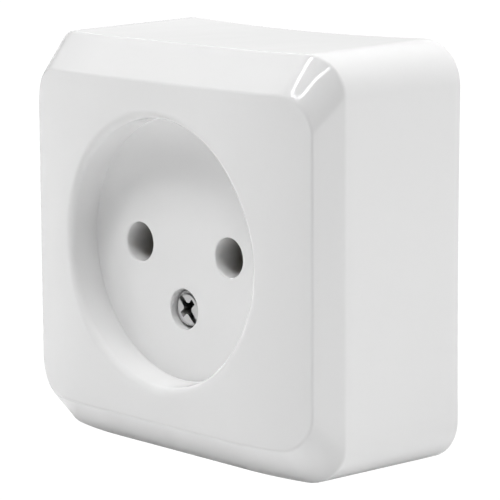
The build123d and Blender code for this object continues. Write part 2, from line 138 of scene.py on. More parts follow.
class WellSizes(bpy.types.PropertyGroup):
    """Sizes of the well that takes the plug."""

    radius: bpy.props.FloatProperty(
        name="Radius", description="Radius of the well at its rim", default=19.2 * MM, unit="LENGTH"
    )
    draft: bpy.props.FloatProperty(
        name="Draft", description="How much narrower the floor is", default=0.1 * MM, unit="LENGTH"
    )
    depth: bpy.props.FloatProperty(
        name="Depth", description="From the flat front to the floor", default=5.4 * MM, unit="LENGTH"
    )
    rim_round: bpy.props.FloatProperty(
        name="Rim rounding", description="Rounding of the rim", default=1.2 * MM, unit="LENGTH"
    )
    floor: bpy.props.FloatProperty(
        name="Floor", description="Thickness of the floor", default=2.2 * MM, unit="LENGTH"
    )
    pin_pitch: bpy.props.FloatProperty(
        name="Pin pitch", description="Between the two pin holes", default=19.0 * MM, unit="LENGTH"
    )
    pin_radius: bpy.props.FloatProperty(
        name="Pin hole radius", description="Radius of a pin hole", default=2.84 * MM, unit="LENGTH"
    )
    mouth_round: bpy.props.FloatProperty(
        name="Mouth rounding", description="Rounding of the holes' mouths", default=0.3 * MM, unit="LENGTH"
    )
    collar_wall: bpy.props.FloatProperty(
        name="Collar wall", description="Wall of the pin holes' collars", default=0.9 * MM, unit="LENGTH"
    )
    collar_height: bpy.props.FloatProperty(
        name="Collar height", description="Height of those collars", default=2.8 * MM, unit="LENGTH"
    )
    screw_drop: bpy.props.FloatProperty(
        name="Screw drop", description="Cover screw below the middle", default=8.66 * MM, unit="LENGTH"
    )
    counterbore_radius: bpy.props.FloatProperty(
        name="Counterbore radius", description="Recess for the screw's head", default=2.93 * MM, unit="LENGTH"
    )
    counterbore_depth: bpy.props.FloatProperty(
        name="Counterbore depth", description="Depth of that recess", default=2.92 * MM, unit="LENGTH"
    )
    screw_hole_radius: bpy.props.FloatProperty(
        name="Screw hole radius", description="Hole for the screw's shank", default=2.1 * MM, unit="LENGTH"
    )
    boss_radius: bpy.props.FloatProperty(
        name="Boss radius", description="Boss round the screw's hole", default=4.5 * MM, unit="LENGTH"
    )
    boss_height: bpy.props.FloatProperty(
        name="Boss height", description="Height of that boss", default=3.0 * MM, unit="LENGTH"
    )


class ScrewSizes(bpy.types.PropertyGroup):
    """Sizes of the cover screw and the terminal screws."""

    radius: bpy.props.FloatProperty(
        name="Radius", description="Outer radius of the thread", default=1.75 * MM, unit="LENGTH"
    )
    thread_pitch: bpy.props.FloatProperty(
        name="Pitch", description="Pitch of the thread", default=0.6 * MM, unit="LENGTH"
    )
    thread_depth: bpy.props.FloatProperty(
        name="Thread depth", description="Depth of the thread", default=0.33 * MM, unit="LENGTH"
    )
    head_radius: bpy.props.FloatProperty(
        name="Head radius", description="Radius of the head", default=2.65 * MM, unit="LENGTH"
    )
    head_height: bpy.props.FloatProperty(
        name="Head height", description="Height of the head", default=2.2 * MM, unit="LENGTH"
    )
    slot_width: bpy.props.FloatProperty(
        name="Slot width", description="Width of the slot", default=0.85 * MM, unit="LENGTH"
    )
    recess_angle: bpy.props.FloatProperty(
        name="Recess angle", description="Turn of the cross", default=math.radians(-48), subtype="ANGLE"
    )


class Finishes(bpy.types.PropertyGroup):
    """Colours of the materials."""

    cover: bpy.props.FloatVectorProperty(
        name="Cover", description="Glossy white", subtype="COLOR", size=3, default=(0.925, 0.925, 0.925)
    )
    base: bpy.props.FloatVectorProperty(
        name="Base", description="Satin white", subtype="COLOR", size=3, default=(0.78, 0.78, 0.76)
    )
    card: bpy.props.FloatVectorProperty(
        name="Card", description="Insulating fibre card", subtype="COLOR", size=3, default=(0.30, 0.17, 0.09)
    )
    ring: bpy.props.FloatVectorProperty(
        name="Ring", description="Natural nylon ring", subtype="COLOR", size=3, default=(0.80, 0.79, 0.75)
    )
    zinc: bpy.props.FloatVectorProperty(
        name="Zinc", description="Zinc plated steel", subtype="COLOR", size=3, default=(0.64, 0.64, 0.64)
    )
    brass: bpy.props.FloatVectorProperty(
        name="Brass", description="Stamped brass sheet", subtype="COLOR", size=3, default=(0.80, 0.58, 0.26)
    )
    spring: bpy.props.FloatVectorProperty(
        name="Spring", description="Spring steel", subtype="COLOR", size=3, default=(0.42, 0.43, 0.45)
    )


class StudioSettings(bpy.types.PropertyGroup):
    """The camera and the lights."""

    azimuth: bpy.props.FloatProperty(
        name="Azimuth",
        description="Camera turned to the right of the front",
        default=math.radians(47.101),
        subtype="ANGLE",
    )
    elevation: bpy.props.FloatProperty(
        name="Elevation", description="Camera above the horizon", default=math.radians(9.217), subtype="ANGLE"
    )
    roll: bpy.props.FloatProperty(
        name="Roll", description="Turn about the line of sight", default=math.radians(-0.335), subtype="ANGLE"
    )
    distance: bpy.props.FloatProperty(
        name="Distance", description="From the camera to its target", default=0.36356, unit="LENGTH"
    )
    target: bpy.props.FloatVectorProperty(
        name="Target",
        description="The point looked at",
        size=3,
        default=(0.017976, -0.030, 0.008514),
        subtype="XYZ",
    )
    lens: bpy.props.FloatProperty(name="Lens", description="Focal length on a 36 mm sensor", default=192.85)
    shift_x: bpy.props.FloatProperty(name="Shift X", description="Sideways shift", default=0.0176)
    shift_y: bpy.props.FloatProperty(name="Shift Y", description="Upright shift", default=-0.0816)
    world_light: bpy.props.FloatProperty(name="Room", description="Light from all around", default=0.01)
    floor_light: bpy.props.FloatProperty(name="Floor", description="Glow of the pale floor", default=1.05)
    backdrop_light: bpy.props.FloatProperty(
        name="Backdrop", description="Glow of the white backdrop", default=0.722
    )
    loop_light: bpy.props.FloatProperty(
        name="Loop", description="Glow of the loop lamp by the corner", default=11.0
    )
    table_light: bpy.props.FloatProperty(name="Table", description="Glow of the light table", default=0.084)
    light_distance: bpy.props.FloatProperty(
        name="Light distance", description="From the socket to each soft box", default=1.0, unit="LENGTH"
    )


CLOSE = 0.02 * MM
SIDE_STEPS = 16
CORNER_STEPS = 12
TOP_STEPS = 24
ARC_FITS = 20
SMOOTH_ANGLE = 35
SCREW_SMOOTH_ANGLE = 32


def only(piece):
    """Makes a piece the one that is selected and active."""
    bpy.ops.object.select_all(action="DESELECT")
    piece.select_set(True)
    bpy.context.view_layer.objects.active = piece


def new_piece(name):
    """Names the primitive that was just added and puts its place into its mesh."""
    piece = bpy.context.object
    piece.name = name
    piece.data.name = name
    only(piece)
    bpy.ops.object.transform_apply(location=True, rotation=True, scale=True)
    return piece


def dress(piece, finish):
    """Gives a piece one finish in place of what it has."""
    piece.data.materials.clear()
    piece.data.materials.append(finish)


def apply_modifier(piece, kind, **settings):
    """Adds a modifier with its settings and applies it."""
    only(piece)
    modifier = piece.modifiers.new(kind.title(), kind)
    for key, value in settings.items():
        setattr(modifier, key, value)
    bpy.ops.object.modifier_apply(modifier=modifier.name)


def combine(piece, tool, operation):
    """Cuts a tool out of a piece, or adds it, and removes the tool."""
    apply_modifier(piece, "BOOLEAN", operation=operation, object=tool, solver="EXACT")
    bpy.data.objects.remove(tool)


def cylinder(radius, bottom, top, centre, sides=64):
    """A cylinder that stands out from the wall, between two heights above it."""
    x, z = centre
    bpy.ops.object.select_all(action="DESELECT")
    bpy.ops.mesh.primitive_cylinder_add(
        vertices=sides,
        radius=radius,
        depth=top - bottom,
        location=(x, -(top + bottom) / 2, z),
        rotation=(math.pi / 2, 0, 0),
    )
    return new_piece("cylinder")


def block(low, high):
    """A box between two corners."""
    low = Vector(low)
    high = Vector(high)
    bpy.ops.object.select_all(action="DESELECT")
    bpy.ops.mesh.primitive_cube_add(size=1, location=(low + high) / 2, scale=high - low)
    return new_piece("block")


def select_edges(piece, chosen):
    """Goes into edit mode with just those edges selected that a test picks out."""
    only(piece)
    bpy.ops.object.mode_set(mode="EDIT")
    bpy.ops.mesh.select_mode(type="EDGE")
    bpy.ops.mesh.select_all(action="DESELECT")
    bpy.ops.object.mode_set(mode="OBJECT")
    for edge in piece.data.edges:
        edge.select = chosen(edge)
    bpy.ops.object.mode_set(mode="EDIT")


def round_edges(piece, chosen, width, segments=3):
    """Rounds the edges whose two ends both pass a test."""
    select_edges(piece, lambda edge: all(chosen(piece.data.vertices[end].co) for end in edge.vertices))
    bpy.ops.mesh.bevel(offset=width, segments=segments, affect="EDGES", clamp_overlap=True)
    bpy.ops.object.mode_set(mode="OBJECT")


def on_circle(centre, radius, height):
    """A test for points on a circle about an axis along Y, at a height above the wall."""
    x, z = centre

    def test(point):
        off_radius = abs(math.hypot(point.x - x, point.z - z) - radius)
        return off_radius <= CLOSE and abs(point.y + height) < CLOSE

    return test


def smooth(piece, angle=SMOOTH_ANGLE):
    """Shades a piece smooth up to an angle in degrees, with its large faces kept flat."""
    only(piece)
    bpy.ops.object.shade_smooth_by_angle(angle=math.radians(angle))
    apply_modifier(piece, "WEIGHTED_NORMAL", keep_sharp=True, weight=80)


def arc_centre(half_length, half_across, sink):
    """Centre and radius of the arc that sinks a side by a little between its ends."""
    radius = (half_length**2 + sink**2) / (2 * sink)
    return half_across - sink + radius, radius


def outline(half_width, half_height, radius, side_sink=0.0, top_sink=0.0):
    """Points (x, z) of a rounded rectangle whose sides may sink inwards, anticlockwise from +X."""
    corner_x = half_width - radius
    corner_z = half_height - radius
    if side_sink and top_sink:
        side_centre, side_radius = arc_centre(half_height, half_width, side_sink)
        top_centre, top_radius = arc_centre(half_width, half_height, top_sink)
        for _ in range(ARC_FITS):
            corner_x = side_centre - math.sqrt((side_radius + radius) ** 2 - corner_z**2)
            corner_z = top_centre - math.sqrt((top_radius + radius) ** 2 - corner_x**2)
        first = math.atan2(-corner_z, side_centre - corner_x)
        last = math.atan2(top_centre - corner_z, -corner_x)
    else:
        first = 0.0
        last = math.pi / 2
    quarter = []
    side_end = corner_z + radius * math.sin(first)
    for step in range(SIDE_STEPS):
        z = side_end * step / SIDE_STEPS
        x = side_centre - math.sqrt(side_radius**2 - z**2) if side_sink else half_width
        quarter.append((x, z))
    for step in range(CORNER_STEPS):
        turn = first + (last - first) * step / CORNER_STEPS
        quarter.append((corner_x + radius * math.cos(turn), corner_z + radius * math.sin(turn)))
    top_start = corner_x + radius * math.cos(last)
    for step in range(TOP_STEPS):
        x = top_start * (1 - step / TOP_STEPS)
        z = top_centre - math.sqrt(top_radius**2 - x**2) if top_sink else half_height
        quarter.append((x, z))
    summit = half_height - top_sink
    second = [(-x, z) for x, z in reversed(quarter[1:])]
    upper = quarter + [(0.0, summit)] + second + [(side_sink - half_width, 0.0)]
    lower = [(x, -z) for x, z in reversed(upper[1:-1])]
    return upper + lower


def circle(radius, guide):
    """Points of a circle, one straight inwards from each point of an outline."""
    return [(radius * x / math.hypot(x, z), radius * z / math.hypot(x, z)) for x, z in guide]


def between(first, second, share):
    """Points a share of the way from one outline to another."""
    return [(a + (c - a) * share, b + (d - b) * share) for (a, b), (c, d) in zip(first, second)]


class RingMesh:
    """A mesh that grows ring by ring, each ring extruded from the last and set on its own outline."""

    def __init__(self, name, points, rounding=0.0):
        bpy.ops.object.select_all(action="DESELECT")
        bpy.ops.mesh.primitive_circle_add(vertices=len(points), radius=1, fill_type="NGON")
        self.piece = new_piece(name)
        self.count = len(points)
        self.rings = 0
        self.roundings = {}
        self.set_ring(points, rounding)

    def set_ring(self, points, rounding):
        """Moves the newest ring onto its points and notes how its edges are to be rounded."""
        if rounding:
            self.roundings[self.rings] = rounding
        start = self.rings * self.count
        for index, point in enumerate(points):
            self.piece.data.vertices[start + index].co = point
        self.rings += 1

    def select_last(self):
        """Goes into edit mode with the last ring's edges selected."""
        start = (self.rings - 1) * self.count
        select_edges(self.piece, lambda edge: min(edge.vertices) >= start)

    def grow(self, points, rounding=0.0):
        """Extrudes the last ring and moves the new one; a rounding is for the new ring's edges."""
        self.select_last()
        bpy.ops.mesh.extrude_edges_move()
        bpy.ops.object.mode_set(mode="OBJECT")
        self.set_ring(points, rounding)

    def close(self):
        """Fills the last ring."""
        self.select_last()
        bpy.ops.mesh.edge_face_add()
        bpy.ops.mesh.select_all(action="SELECT")
        bpy.ops.mesh.normals_make_consistent(inside=False)
        bpy.ops.object.mode_set(mode="OBJECT")

    def soften(self, segments=4):
        """Rounds the rings that were given a rounding."""
        widest = max(self.roundings.values())
        data = self.piece.data
        weight = data.attributes.new("bevel_weight_edge", "FLOAT", "EDGE")
        for edge in data.edges:
            ring = edge.vertices[0] // self.count
            if ring == edge.vertices[1] // self.count:
                weight.data[edge.index].value = self.roundings.get(ring, 0) / widest
        apply_modifier(
            self.piece,
            "BEVEL",
            width=widest,
            segments=segments,
            limit_method="WEIGHT",
            use_clamp_overlap=False,
        )


def front_drop(x, sizes):
    """How far the curved front lies behind its flat middle."""
    half_flat = sizes.flat_width / 2
    half_face = sizes.half_width - sizes.side_bevel
    radius = ((half_face - half_flat) ** 2 + sizes.face_drop**2) / (2 * sizes.face_drop)
    beyond = max(abs(x) - half_flat, 0)
    return radius - math.sqrt(radius**2 - beyond**2)


def at_height(points, height):
    """Points set flat at a height above the wall."""
    return [Vector((x, -height, z)) for x, z in points]


def behind(points, crest, sizes):
    """Points set on the curved front, or on a surface behind it."""
    return [Vector((x, front_drop(x, sizes) - crest, z)) for x, z in points]


def drafted_skirt(inset, shoulder, sizes):
    """Outlines of the walls at the wall face and straight above it, with the height of the second."""
    back = outline(
        sizes.half_width + sizes.draft - inset,
        sizes.half_height + sizes.draft - inset,
        sizes.corner_radius + sizes.draft - inset,
        sizes.side_sink,
        sizes.top_sink,
    )
    front = outline(sizes.half_width - inset, sizes.half_height - inset, sizes.corner_radius - inset)
    return back, front, shoulder + sizes.draft


def skirt_ring(skirt, shoulder, sizes, share=1.0):
    """Points up a drafted skirt, a share of the way to its curved shoulder."""
    back, front, front_height = skirt
    points = []
    for (x0, z0), (x1, z1) in zip(back, front):
        height = share * (shoulder - front_drop(x1, sizes))
        lean = height / front_height
        points.append(Vector((x0 + (x1 - x0) * lean, -height, z0 + (z1 - z0) * lean)))
    return points


# How far apart the rings of the front and of the bevels lie, and those down the walls
FRONT_SHARES = (0.24, 0.43, 0.63, 0.83)
BEVEL_SHARES = (1 / 3, 2 / 3)
WALL_SHARES = (0.75, 0.5, 0.25)
BEVEL_INSIDE_SHARE = 0.45
FINE_ROUND = 0.15 * MM
FOOT_ROUND = 0.25 * MM


def cover_shell(sizes, well):
    """The closed moulding, grown from the well's floor over the front and down the walls, and back inside."""
    floor = sizes.depth - well.depth
    shoulder = sizes.depth - sizes.bevel_depth
    half_face_width = sizes.half_width - sizes.side_bevel
    half_face_height = sizes.half_height - sizes.top_bevel
    face = outline(half_face_width, half_face_height, sizes.face_radius)
    rim = circle(well.radius, face)
    face_ring = behind(face, sizes.depth, sizes)
    skirt = drafted_skirt(0.0, shoulder, sizes)
    shoulder_ring = skirt_ring(skirt, shoulder, sizes)

    mesh = RingMesh("socket_cover", at_height(circle(well.radius - well.draft, face), floor), FINE_ROUND)
    mesh.grow(behind(rim, sizes.depth, sizes), well.rim_round)
    for share in FRONT_SHARES:
        mesh.grow(behind(between(rim, face, share), sizes.depth, sizes))
    mesh.grow(face_ring, sizes.edge_round)
    for share in BEVEL_SHARES:
        mesh.grow([a.lerp(b, share) for a, b in zip(face_ring, shoulder_ring)])
    mesh.grow(shoulder_ring, sizes.edge_round)
    for share in WALL_SHARES:
        mesh.grow(skirt_ring(skirt, shoulder, sizes, share))
    mesh.grow(at_height(skirt[0], 0.0), FOOT_ROUND)

    inner_crest = sizes.depth - sizes.wall
    inner_shoulder = inner_crest - sizes.bevel_depth
    inner_skirt = drafted_skirt(sizes.wall, inner_shoulder, sizes)
    inset = sizes.wall * BEVEL_INSIDE_SHARE
    inner_face = outline(half_face_width - inset, half_face_height - inset, sizes.face_radius - inset)
    tube = circle(well.radius + sizes.wall, face)
    mesh.grow(at_height(inner_skirt[0], 0.0), FOOT_ROUND)
    mesh.grow(skirt_ring(inner_skirt, inner_shoulder, sizes))
    mesh.grow(behind(inner_face, inner_crest, sizes))
    mesh.grow(behind(between(inner_face, tube, 0.5), inner_crest, sizes))
    mesh.grow(behind(tube, inner_crest, sizes))
    mesh.grow(at_height(tube, floor - well.floor))
    mesh.close()
    mesh.soften()
    return mesh.piece


OVERLAP = 0.5 * MM


def add_well_details(cover, sizes, well):
    """Adds the screw's boss and the pin holes' collars behind the well's floor, and cuts their holes."""
    floor = sizes.depth - well.depth
    back = floor - well.floor
    boss_end = back - well.boss_height
    collar_end = back - well.collar_height
    screw_seat = floor - well.counterbore_depth
    screw = (0.0, -well.screw_drop)
    pins = ((-well.pin_pitch / 2, 0.0), (well.pin_pitch / 2, 0.0))
    combine(cover, cylinder(well.boss_radius, boss_end, back + OVERLAP, screw), "UNION")
    for pin in pins:
        collar = cylinder(well.pin_radius + well.collar_wall, collar_end, back + OVERLAP, pin)
        combine(cover, collar, "UNION")
        combine(cover, cylinder(well.pin_radius, collar_end - MM, floor + well.floor, pin), "DIFFERENCE")
    counterbore = cylinder(well.counterbore_radius, screw_seat, floor + well.floor, screw)
    combine(cover, counterbore, "DIFFERENCE")
    screw_hole = cylinder(well.screw_hole_radius, boss_end - MM, screw_seat + MM, screw, sides=48)
    combine(cover, screw_hole, "DIFFERENCE")
    for pin in pins:
        round_edges(cover, on_circle(pin, well.pin_radius, floor), well.mouth_round)
    round_edges(cover, on_circle(screw, well.counterbore_radius, floor), FINE_ROUND)


# The ribs' parts in millimetres: their ends from the axis, and their heights above the wall there
SIDE_RIB = ((20.2, 28.6, 27.9, 25.9),)
END_RIB = ((20.2, 23.6, 28.5, 28.5), (23.59, 28.6, 28.5, 23.4))
RIB_DEPTH = 7.6 * MM
RIB_ABOVE = 0.1 * MM


def rib(start, end, start_top, end_top, low, thickness, turn):
    """A flat rib between two distances from the axis, with a sloping top, turned about the axis."""
    piece = block((start, -start_top, -thickness / 2), (end, -low, thickness / 2))
    for vertex in piece.data.vertices:
        if vertex.co.x > (start + end) / 2 and vertex.co.y < -low - RIB_ABOVE:
            vertex.co.y = -end_top
    piece.rotation_euler = (0, -turn, 0)
    return new_piece("rib")


def add_ribs(cover, sizes):
    """Adds the four ribs between the well and the walls."""
    low = sizes.depth - RIB_DEPTH
    for turns, parts in (((0, math.pi), SIDE_RIB), ((math.pi / 2, -math.pi / 2), END_RIB)):
        for turn in turns:
            for part in parts:
                lengths = [length * MM for length in part]
                combine(cover, rib(*lengths, low, sizes.rib, turn), "UNION")


BREAKOUT_REACH = 5 * MM
BREAKOUT_SKIN = 0.8 * MM


def cut_breakouts(cover, sizes):
    """Thins the top and bottom walls from inside, where a cable may come in."""
    half = sizes.breakout_width / 2
    inner = sizes.half_height - BREAKOUT_REACH
    outer = sizes.half_height - BREAKOUT_SKIN
    for low, high in ((inner, outer), (-outer, -inner)):
        window = block((-half, -sizes.breakout_height, low), (half, MM, high))
        combine(cover, window, "DIFFERENCE")


class SOCKET_OT_cover(bpy.types.Operator):
    """Models the one-piece cover with its curved front, bevels, well, holes, ribs and break-outs"""

    bl_idname = "socket.cover"
    bl_label = "Cover"

    def execute(self, context):
        sizes = context.scene.socket_cover
        well = context.scene.socket_well
        cover = cover_shell(sizes, well)
        add_well_details(cover, sizes, well)
        add_ribs(cover, sizes)
        cut_breakouts(cover, sizes)
        smooth(cover)
        dress(cover, cover_plastic())
        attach(cover, "cover_body")
        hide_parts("cover")
        return {"FINISHED"}


class SOCKET_OT_screws(bpy.types.Operator):
    """Models the cover screw and both terminal screws, each with its head, recess and thread"""

    bl_idname = "socket.screws"
    bl_label = "Screws"

    def execute(self, context):
        for node, body, cross in (
            ("cover_screw", "screw_body", True),
            ("left_terminal_screw", "left_screw", False),
            ("right_terminal_screw", "right_screw", False),
        ):
            screw = machine_screw("socket_" + node, node, cross)
            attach(screw, body)
            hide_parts(node)
        return {"FINISHED"}


# The recess cutters' length, width, depth and the share that their bottom narrows to
CROSS_ARM = (3.3 * MM, 0.9 * MM, 1.5 * MM, 0.6)
CROSS_PIT = (1.7 * MM, 1.7 * MM, 1.7 * MM, 0.5)
SLOT_LENGTH = 6 * MM
SHALLOW_SLOT = 0.45 * MM
DEEP_SLOT = 1.2 * MM
HEAD_ROUND = 0.7 * MM
SEAT_ROUND = 0.12 * MM
TIP_ROUND = 0.3 * MM
CORE_OVERLAP = 0.3 * MM
# The thread's profile: how deep its foot sits, and the shares of half a pitch at foot and crest
THREAD_SINK = 0.05 * MM
THREAD_FOOT = 0.85
THREAD_CREST = 0.12
THREAD_STEPS = 24
# Where painted shade darkens the recess: shares of the head's radius and height, and the depth of full
# painted shade
RECESS_REACH = 0.74
RECESS_END = 0.85
RECESS_DARK = 0.8 * MM


def wedge(centre, top, turn, length, width, depth, narrowing):
    """A cutter that narrows downwards from a height above the wall, turned about its own axis."""
    x, z = centre
    bpy.ops.object.select_all(action="DESELECT")
    bpy.ops.mesh.primitive_cube_add(size=1, location=(x, -top, z), scale=(length, 2 * depth, width))
    cutter = bpy.context.object
    for vertex in cutter.data.vertices:
        share = narrowing if vertex.co.y > 0 else 2 - narrowing
        vertex.co.x *= share
        vertex.co.z *= share
    cutter.rotation_euler = (0, -turn, 0)
    return new_piece("wedge")


def thread_ridge(sizes, tip, end, centre):
    """A helical ridge of one pitch a turn, closed at both ends."""
    half = sizes.thread_pitch / 2
    foot = sizes.radius - sizes.thread_depth - THREAD_SINK
    bpy.ops.object.select_all(action="DESELECT")
    bpy.ops.mesh.primitive_circle_add(vertices=4, radius=1, fill_type="NOTHING")
    ridge = new_piece("thread")
    profile = (
        (foot, THREAD_FOOT * half),
        (sizes.radius, THREAD_CREST * half),
        (sizes.radius, -THREAD_CREST * half),
        (foot, -THREAD_FOOT * half),
    )
    for vertex, (radius, along) in zip(ridge.data.vertices, profile):
        vertex.co = (radius, along, 0)
    apply_modifier(
        ridge,
        "SCREW",
        axis="Y",
        angle=2 * math.pi,
        screw_offset=sizes.thread_pitch,
        iterations=int((end - tip) / sizes.thread_pitch) - 1,
        steps=THREAD_STEPS,
        render_steps=THREAD_STEPS,
    )
    bpy.ops.object.mode_set(mode="EDIT")
    bpy.ops.mesh.select_all(action="SELECT")
    bpy.ops.mesh.fill_holes(sides=4)
    bpy.ops.mesh.normals_make_consistent(inside=False)
    bpy.ops.object.mode_set(mode="OBJECT")
    ridge.location = (centre[0], half - end, centre[1])
    only(ridge)
    bpy.ops.object.transform_apply(location=True)
    return ridge


def mark_recess(screw, centre, top, sizes):
    """Notes on each point how deep in the head's recess it lies, for the finish to paint shade there."""
    recess = screw.data.attributes.new("recess", "FLOAT", "POINT")
    reach = RECESS_REACH * sizes.head_radius
    for vertex, value in zip(screw.data.vertices, recess.data):
        depth = top + vertex.co.y
        off_axis = math.hypot(vertex.co.x - centre[0], vertex.co.z - centre[1])
        if off_axis < reach and depth < RECESS_END * sizes.head_height:
            value.value = min(depth / RECESS_DARK, 1.0)


def machine_screw(name, node, cross):
    """A pan head screw in the place of a node of the frame, with a slot, or a cross over a shallow slot."""
    sizes = bpy.context.scene.socket_screws
    low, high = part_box(node)
    centre = ((low.x + high.x) / 2, (low.z + high.z) / 2)
    tip, top = -high.y, -low.y
    seat = top - sizes.head_height
    head = cylinder(sizes.head_radius, seat, top, centre)
    round_edges(head, on_circle(centre, sizes.head_radius, top), HEAD_ROUND, segments=6)
    round_edges(head, on_circle(centre, sizes.head_radius, seat), SEAT_ROUND)
    if cross:
        turn = sizes.recess_angle
        cutters = [(turn, *CROSS_ARM), (turn + math.pi / 2, *CROSS_ARM), (turn + math.pi / 4, *CROSS_PIT)]
        cutters.append((turn, SLOT_LENGTH, sizes.slot_width, SHALLOW_SLOT, 1.0))
    else:
        cutters = [(math.pi / 2, SLOT_LENGTH, sizes.slot_width, DEEP_SLOT, 1.0)]
    for cutter in cutters:
        combine(head, wedge(centre, top, *cutter), "DIFFERENCE")
    root = sizes.radius - sizes.thread_depth
    core = cylinder(root, tip, seat + CORE_OVERLAP, centre, sides=48)
    round_edges(core, on_circle(centre, root, tip), TIP_ROUND)
    ridge = thread_ridge(sizes, tip, seat, centre)
    combine(head, core, "UNION")
    bpy.ops.object.select_all(action="DESELECT")
    ridge.select_set(True)
    head.select_set(True)
    bpy.context.view_layer.objects.active = head
    bpy.ops.object.join()
    head.name = name
    head.data.name = name
    smooth(head, SCREW_SMOOTH_ANGLE)
    mark_recess(head, centre, top, sizes)
    dress(head, zinc_steel())
    return head


# A colour Mix node's sockets, which share their names with its others
MIX_SHARE, MIX_FIRST, MIX_SECOND, MIX_RESULT = 0, 6, 7, 2


class Wire:
    """A socket of a material's node tree that can stand in a Python expression."""

    def __init__(self, tree, socket=None):
        self.tree = tree
        self.socket = socket

    def add(self, kind, sockets=None, output=0, **settings):
        """Adds a node, with its settings first and then the values or links of its sockets."""
        node = self.tree.nodes.new(kind)
        for key, value in settings.items():
            setattr(node, key, value)
        for key, value in (sockets or {}).items():
            if isinstance(value, Wire):
                self.tree.links.new(value.socket, node.inputs[key])
            else:
                node.inputs[key].default_value = value
        return Wire(self.tree, node.outputs[output])

    def math(self, operation, first, second=0.0, clamp=False):
        return self.add("ShaderNodeMath", {0: first, 1: second}, operation=operation, use_clamp=clamp)

    def __add__(self, other):
        return self.math("ADD", self, other)

    def __radd__(self, other):
        return self.math("ADD", other, self)

    def __sub__(self, other):
        return self.math("SUBTRACT", self, other)

    def __rsub__(self, other):
        return self.math("SUBTRACT", other, self)

    def __mul__(self, other):
        return self.math("MULTIPLY", self, other)

    def __rmul__(self, other):
        return self.math("MULTIPLY", other, self)

    def place(self):
        """Object coordinates, in metres."""
        return self.add("ShaderNodeTexCoord", output="Object")

    def stretched(self, place, scales):
        """Coordinates scaled along each axis, where less than 1 draws a pattern out."""
        return self.add("ShaderNodeMapping", {"Vector": place, "Scale": scales})

    def noise(self, place, scale, detail=2.0, roughness=0.5):
        """Even noise from 0 to 1, with its features about one over the scale apart."""
        sockets = {"Vector": place, "Scale": scale, "Detail": detail, "Roughness": roughness}
        return self.add("ShaderNodeTexNoise", sockets)

    def mix(self, share, first, second):
        """A colour between two colours, of which the first may be a wire."""
        if isinstance(first, tuple):
            first = (*first, 1)
        sockets = {MIX_SHARE: share, MIX_FIRST: first, MIX_SECOND: (*second, 1)}
        return self.add("ShaderNodeMix", sockets, output=MIX_RESULT, data_type="RGBA")

    def bump(self, height, distance):
        """A normal from a height, which is 1 at a distance in metres."""
        return self.add("ShaderNodeBump", {"Height": height, "Distance": distance})


def material(name, make):
    """A node material whose surface is made by a function of an empty wire, named apart from the frame's."""
    name = "finish_" + name
    made = bpy.data.materials.get(name)
    if made:
        return made
    made = bpy.data.materials.new(name)
    made.use_nodes = True
    tree = made.node_tree
    tree.nodes.clear()
    surface = make(Wire(tree))
    output = tree.nodes.new("ShaderNodeOutputMaterial")
    tree.links.new(surface.socket, output.inputs["Surface"])
    return made


def shade(wire, colour, roughness, normal, **constants):
    """The principled surface, with what varies wired to it and the rest set on its own sockets."""
    sockets = {"Base Color": colour, "Roughness": roughness, "Normal": normal, **constants}
    return wire.add("ShaderNodeBsdfPrincipled", sockets)


def finish_colour(name):
    """One of the colours that the user can set."""
    return tuple(getattr(bpy.context.scene.socket_finishes, name))


def darker(colour, share):
    """A share of a colour."""
    return tuple(channel * share for channel in colour)


PLASTIC_IOR = 1.5
# The painted shade in the pin holes: how far past their radius it reaches, and the share of the colour left
# at their far end
HOLE_REACH = 0.1 * MM
PAINTED_HOLE_SHADE = 0.32
# The painted shade in the screws' recesses: the share of the colour left at full depth
PAINTED_RECESS_SHADE = 0.05


def pin_hole_depth(place):
    """From 0 at the mouths of the pin holes to 1 at the end of their collars, and 0 everywhere else: the mask
    of the painted shade in the holes.
    """
    sizes = bpy.context.scene.socket_cover
    well = bpy.context.scene.socket_well
    x, y, z = (place.add("ShaderNodeSeparateXYZ", {"Vector": place}, output=axis) for axis in range(3))
    across = place.math("ABSOLUTE", x) - well.pin_pitch / 2
    off_axis = place.math("SQRT", across * across + z * z)
    inside = place.math("LESS_THAN", off_axis, well.pin_radius + HOLE_REACH)
    depth = (y + (sizes.depth - well.depth)) * (1 / (well.floor + well.collar_height))
    return place.math("MULTIPLY", inside, depth, clamp=True)


def cover_plastic():
    """Glossy white moulding: an almost even white, a polish that varies a little, faint flow waves, and
    painted shade deep in the pin holes.
    """
    colour = finish_colour("cover")

    def make(wire):
        place = wire.place()
        clouds = wire.noise(place, scale=90.0, detail=2.0)
        grain = wire.noise(place, scale=2600.0, detail=1.0)
        waves = wire.noise(wire.stretched(place, (1.0, 0.4, 1.0)), scale=160.0, detail=1.0)
        white = wire.mix(clouds, darker(colour, 0.985), colour)
        # Painted shade: the colour darkens towards the far end of the pin holes, where little light reaches
        tone = wire.mix(pin_hole_depth(place), white, darker(colour, PAINTED_HOLE_SHADE))
        polish = 0.03 + 0.02 * clouds
        relief = wire.bump(waves + 0.1 * grain, distance=0.02 * MM)
        return shade(wire, tone, polish, relief, IOR=PLASTIC_IOR)

    return material("cover_plastic", make)


def base_plastic():
    """Satin moulding with a fine spark-eroded grain."""
    colour = finish_colour("base")

    def make(wire):
        place = wire.place()
        clouds = wire.noise(place, scale=120.0)
        grain = wire.noise(place, scale=5200.0, detail=3.0)
        tone = wire.mix(clouds, darker(colour, 0.95), colour)
        polish = 0.38 + 0.12 * grain
        return shade(wire, tone, polish, wire.bump(grain, distance=0.04 * MM), IOR=PLASTIC_IOR)

    return material("base_plastic", make)


def fibre_card():
    """Matt brown card with pressed fibres."""
    colour = finish_colour("card")

    def make(wire):
        place = wire.place()
        lengthwise = wire.stretched(place, (1.0, 1.0, 5.0))
        fibres = wire.noise(lengthwise, scale=1500.0, detail=4.0, roughness=0.7)
        specks = wire.noise(place, scale=700.0, detail=3.0)
        tone = wire.mix(fibres * specks * 2.0, darker(colour, 0.55), colour)
        return shade(wire, tone, 0.75 + 0.15 * fibres, wire.bump(fibres, distance=0.06 * MM))

    return material("fibre_card", make)


